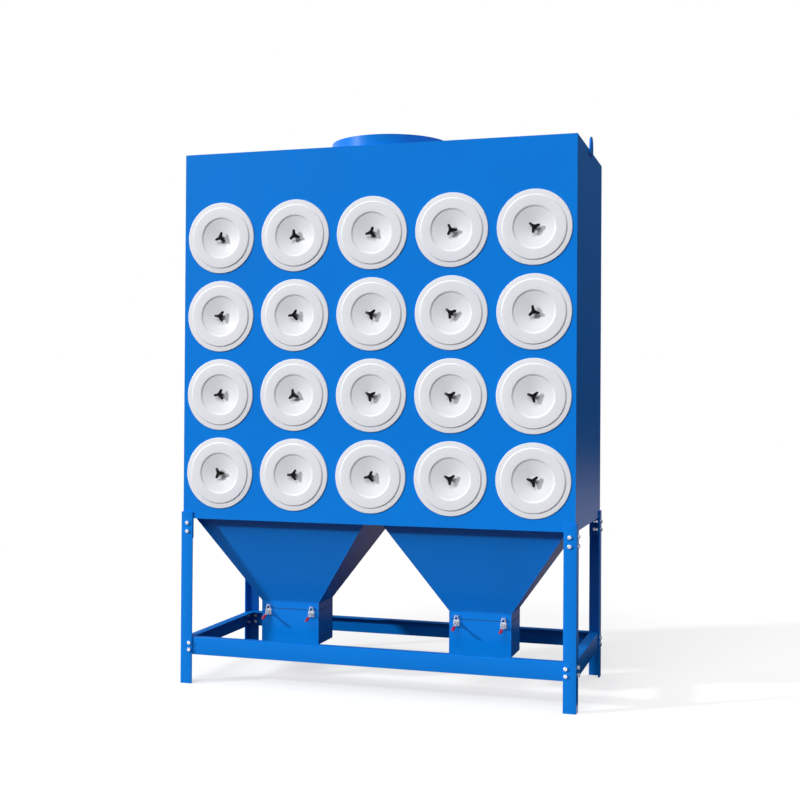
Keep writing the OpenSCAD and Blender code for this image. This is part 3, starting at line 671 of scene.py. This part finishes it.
rivet = revolve(rounded([(0, 0), (2.6, 0), (2.2, 1.0), (0, 1.3)], [0.2, 0.6], steps=3) * MM, 16)
FLIP = np.diag([-1.0, -1.0, 1.0])
rear_bails, rear_grips, rivets = [], [], []
bar_v = crank_v + BAIL_LEN * math.cos(lean)
plate_t = 2.5 * MM
rivet_spots = np.array([(s * 12 * MM, -plate_t, -PIVOT_DROP + e * 12.5 * MM)
                        for s in (-1, 1) for e in (-1, 1)]
                       + [(s * 8 * MM, -plate_t, bar_v + 2 * MM) for s in (-1, 1)])
for n, x in LATCHES.items():
    seat = np.array([x, BIN_FACE, BIN_TOP])
    behind = np.array([x, BIN_BACK, BIN_TOP])
    piece(f"bail_wire_{n}", move(bail_shape(), offset=seat), bright_zinc, f"bail_{n}",
          (f"latch_bail_{n}",), sharp=60)
    piece(f"lever_grip_{n}", move(grip_shape(), offset=seat), red_vinyl, f"lever_{n}",
          (f"latch_grip_{n}",), sharp=60)
    rear_bails.append(move(bail_shape(), FLIP, behind))
    rear_grips.append(move(grip_shape(), FLIP, behind))
    rivets.append(copies(rivet, [facing((0, -1, 0))] * len(rivet_spots), rivet_spots + seat))
    rivets.append(copies(rivet, [facing((0, 1, 0))] * len(rivet_spots),
                         rivet_spots @ FLIP + behind))
piece("rear_bail_wires", rear_bails, bright_zinc,
      replaces=("rear_latch_bails",), sharp=60)
piece("rear_lever_grips", rear_grips, red_vinyl,
      replaces=("rear_latch_grips",), sharp=60)
piece("latch_rivets", rivets, bright_zinc, sharp=50)


# Studio

def seen_white(tree):
    """1 for what the camera, a reflection or a refraction sees, 0 for light on the object."""
    path = add(tree, "ShaderNodeLightPath")
    pair = add(tree, "ShaderNodeMath", {0: path.outputs["Is Camera Ray"],
                                        1: path.outputs["Is Glossy Ray"]}, operation="MAXIMUM")
    return add(tree, "ShaderNodeMath", {0: pair.outputs[0],
                                        1: path.outputs["Is Transmission Ray"]},
               operation="MAXIMUM").outputs[0]


def flat_sheet(name, corners, finish):
    mesh = bpy.data.meshes.new(name)
    mesh.from_pydata(corners, [], [(0, 1, 2, 3)])
    mesh.materials.append(finish)
    made = bpy.data.objects.new(name, mesh)
    bpy.context.scene.collection.objects.link(made)
    return made


world = bpy.data.worlds.new("studio")
world.use_nodes = True
world.node_tree.nodes.clear()
# what lights the object grows from the horizon to overhead, so little reaches under the cabinet
HORIZON, OVERHEAD = 0.07, 0.84
upward = add(world.node_tree, "ShaderNodeSeparateXYZ", {
    "Vector": add(world.node_tree, "ShaderNodeTexCoord").outputs["Generated"]}).outputs["Z"]
ambient = add(world.node_tree, "ShaderNodeMapRange",
              {"Value": upward, "To Min": HORIZON, "To Max": OVERHEAD}).outputs[0]
light = add(world.node_tree, "ShaderNodeMapRange",
            {"Value": seen_white(world.node_tree), "To Min": ambient, "To Max": 1.0})
sky = add(world.node_tree, "ShaderNodeBackground",
          {"Color": (1, 1, 1, 1), "Strength": light.outputs[0]})
add(world.node_tree, "ShaderNodeOutputWorld", {"Surface": sky.outputs[0]})
bpy.context.scene.world = world

floor_finish, tree, coords = start_finish("pale_floor")
matt = add(tree, "ShaderNodeBsdfDiffuse", {"Color": (0.42, 0.42, 0.42, 1)})
# Painted shade: to light bouncing off it the floor is near black with a blue tint, like ground lying in
# shadow, so the machine's undersides stay dark. The camera still sees the floor pale.
painted_shade_bounce = add(tree, "ShaderNodeBsdfDiffuse", {"Color": (0.035, 0.037, 0.05, 1)})
glow = add(tree, "ShaderNodeEmission", {"Color": (1, 1, 1, 1), "Strength": 0.6})
both = add(tree, "ShaderNodeAddShader", {0: matt.outputs[0], 1: glow.outputs[0]})
lit = add(tree, "ShaderNodeMixShader", {0: seen_white(tree), 1: painted_shade_bounce.outputs[0],
                                        2: both.outputs[0]})
white = add(tree, "ShaderNodeEmission", {"Color": (1, 1, 1, 1), "Strength": 1.0})
length = add(tree, "ShaderNodeVectorMath", {0: coords}, operation="LENGTH")
far = add(tree, "ShaderNodeMath", {0: ramp(tree, length.outputs["Value"], 3.0, 7.0),
                                   1: seen_white(tree)}, operation="MULTIPLY")
end_finish(tree, add(tree, "ShaderNodeMixShader", {0: far.outputs[0], 1: lit.outputs[0],
                                                   2: white.outputs[0]}))
W = 60.0
flat_sheet("floor", [(-W, -W, 0), (W, -W, 0), (W, W, 0), (-W, W, 0)], floor_finish)

# Dim glowing cards, no lamps, that only reflections see: painted reflections. The glossy right wall and the
# hoppers' undersides mirror the far screen and the ground sheet at a flat angle, and the front mirrors the
# near screen.
far_reflection_finish, tree, coords = start_finish("painted_reflection_screen")
height = add(tree, "ShaderNodeSeparateXYZ", {"Vector": coords}).outputs["Z"]
# Painted reflection: the far screen is dark blue-grey low down, bluer higher up, and pale mauve at its foot.
tone = blend_colours(tree, ramp(tree, height, 1.6, 5.0), linear("#242c40"), linear("#445a80"))
tone = blend_colours(tree, ramp(tree, height, 0.9, 0.1), tone, linear("#b3abba"))
end_finish(tree, add(tree, "ShaderNodeEmission", {"Color": tone, "Strength": 1.0}))
ground_reflection_finish, tree, coords = start_finish("painted_reflection_ground")
depth = add(tree, "ShaderNodeSeparateXYZ", {"Vector": coords}).outputs["Y"]
# Painted reflection of the ground: near black up to about 1 to 2 m behind the middle, a painted shadow of
# the machine on the ground, then brownish and paler further back.
tone = blend_colours(tree, ramp(tree, depth, 3.0, 8.0), linear("#8d8378"), linear("#b3abba"))
tone = blend_colours(tree, ramp(tree, depth, 0.9, 2.2), linear("#0b0d18"), tone)
end_finish(tree, add(tree, "ShaderNodeEmission", {"Color": tone, "Strength": 1.0}))
# Painted reflection: an even grey card behind the camera that the front-facing faces mirror.
near_reflection_finish, tree, coords = start_finish("painted_reflection_near")
end_finish(tree, add(tree, "ShaderNodeEmission", {"Color": linear("#a8adb4"), "Strength": 1.0}))
for flag in (
    flat_sheet("painted_reflection_screen", [(-6, 9, 0), (14, 9, 0), (14, 9, 9), (-6, 9, 9)], far_reflection_finish),
    flat_sheet("painted_reflection_near", [(-9, -12, -0.5), (9, -12, -0.5), (9, -12, 7), (-9, -12, 7)],
               near_reflection_finish),
    flat_sheet("painted_reflection_ground", [(-6, -0.3, 0.002), (14, -0.3, 0.002), (14, 9, 0.002), (-6, 9, 0.002)],
               ground_reflection_finish),
):
    flag.visible_camera = flag.visible_diffuse = flag.visible_shadow = False

def aim(obj, right, up, back, place=(0, 0, 0)):
    """Sets an object's axes: local X, Y and Z as columns, and its place."""
    m = np.eye(4)
    m[:3, 0], m[:3, 1], m[:3, 2], m[:3, 3] = right, up, back, place
    obj.matrix_world = Matrix(m.tolist())


def sun(name, energy, angle, toward, mirrored=True):
    """A distant lamp whose light travels in the direction `toward`."""
    lamp = bpy.data.objects.new(name, bpy.data.lights.new(name, "SUN"))
    lamp.data.energy, lamp.data.angle = energy, math.radians(angle)
    lamp.visible_glossy = mirrored
    toward = np.array(toward) / np.linalg.norm(toward)
    right = np.cross(toward, (0, 0, 1))
    right /= np.linalg.norm(right)
    aim(lamp, right, np.cross(-toward, right), -toward, (-4, -4, 5))
    bpy.context.scene.collection.objects.link(lamp)


sun("key", 2.5, 4, (1.46, 1.0, -0.66))
sun("fill", 1.35, 30, (0.2, 1.0, -0.95), mirrored=False)

camera = bpy.data.objects.new("camera", bpy.data.cameras.new("camera"))
camera.data.sensor_width = 36.0
camera.data.lens = 36.0 * 1246.5 / 800
camera.data.shift_x, camera.data.shift_y = 18 / 800, -8 / 800
camera.data.clip_end = 200
yaw, pitch, roll = -0.303, 0.007, 0.0063
forward = np.array([math.sin(yaw) * math.cos(pitch), math.cos(yaw) * math.cos(pitch),
                    math.sin(pitch)])
level = np.array([math.cos(yaw), -math.sin(yaw), 0])
over = np.cross(level, forward)
aim(camera, math.cos(roll) * level + math.sin(roll) * over,
    math.cos(roll) * over - math.sin(roll) * level, -forward,
    (1.956, MID_Y - 6.514, 1.515))
bpy.context.scene.collection.objects.link(camera)
bpy.context.scene.camera = camera
bpy.context.scene.view_settings.view_transform = "Standard"
